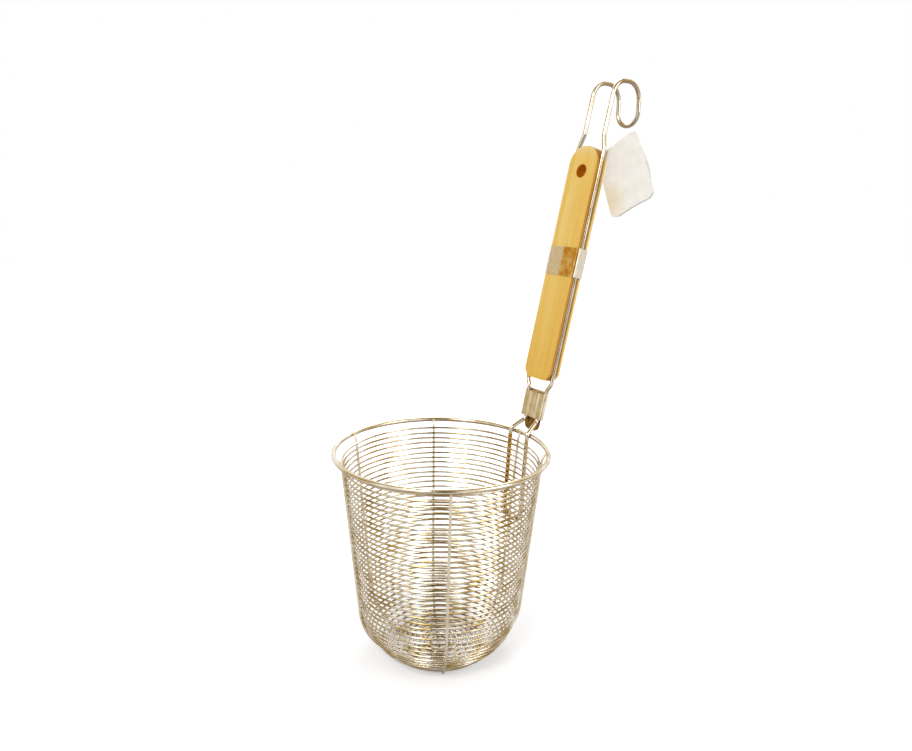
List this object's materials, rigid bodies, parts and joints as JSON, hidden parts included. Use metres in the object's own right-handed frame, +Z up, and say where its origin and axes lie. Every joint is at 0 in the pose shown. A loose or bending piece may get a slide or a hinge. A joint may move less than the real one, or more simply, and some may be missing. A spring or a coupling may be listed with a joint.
{
  "type": "noodle strainer basket",
  "caption": "Deep wire basket of stacked hoops on a leaning wooden handle held by side wires that end in a hanging hook.",
  "frame": {"origin": "on the basket's axis at the table, under the middle of the long rib", "axes": "+Z up along the basket's axis, +X from the axis towards the handle, +Y to the left of someone who looks along +X"},
  "size_m": [0.2312, 0.1448, 0.3897],
  "materials": {
    "hoop_wire": "bright drawn stainless wire",
    "frame_wire": "bright stainless wire",
    "sleeve_sheet": "satin pressed sheet",
    "band_sheet": "bright rolled sheet",
    "wood": "smooth pale wood, bare",
    "paper": "matt paper, no print"
  },
  "bodies": {
    "root": {"bracket_wire": "frame_wire", "floor_ring_1": "hoop_wire", "floor_ring_2": "hoop_wire", "floor_ring_3": "hoop_wire", "floor_ring_4": "hoop_wire", "floor_ring_5": "hoop_wire", "floor_ring_6": "hoop_wire", "floor_ring_7": "hoop_wire", "floor_ring_8": "hoop_wire", "handle_wire": "frame_wire", "hoop_01": "hoop_wire", "hoop_02": "hoop_wire", "hoop_03": "hoop_wire", "hoop_04": "hoop_wire", "hoop_05": "hoop_wire", "hoop_06": "hoop_wire", "hoop_07": "hoop_wire", "hoop_08": "hoop_wire", "hoop_09": "hoop_wire", "hoop_10": "hoop_wire", "hoop_11": "hoop_wire", "hoop_12": "hoop_wire", "hoop_13": "hoop_wire", "hoop_14": "hoop_wire", "hoop_15": "hoop_wire", "hoop_16": "hoop_wire", "hoop_17": "hoop_wire", "hoop_18": "hoop_wire", "hoop_19": "hoop_wire", "hoop_20": "hoop_wire", "hoop_21": "hoop_wire", "hoop_22": "hoop_wire", "hoop_23": "hoop_wire", "hoop_24": "hoop_wire", "hoop_25": "hoop_wire", "hoop_26": "hoop_wire", "hoop_27": "hoop_wire", "hoop_28": "hoop_wire", "hoop_29": "hoop_wire", "hoop_30": "hoop_wire", "hoop_31": "hoop_wire", "hoop_32": "hoop_wire", "hoop_33": "hoop_wire", "hoop_34": "hoop_wire", "hoop_35": "hoop_wire", "hoop_36": "hoop_wire", "hoop_37": "hoop_wire", "hoop_38": "hoop_wire", "hoop_39": "hoop_wire", "neck_sleeve": "sleeve_sheet", "rib_across": "frame_wire", "rib_back": "frame_wire", "rib_handle_side": "frame_wire", "rib_left": "frame_wire", "rib_right": "frame_wire", "rim_ring": "frame_wire", "tag": "paper", "wood_band": "band_sheet", "wood_handle": "wood"}
  },
  "joints": []
}
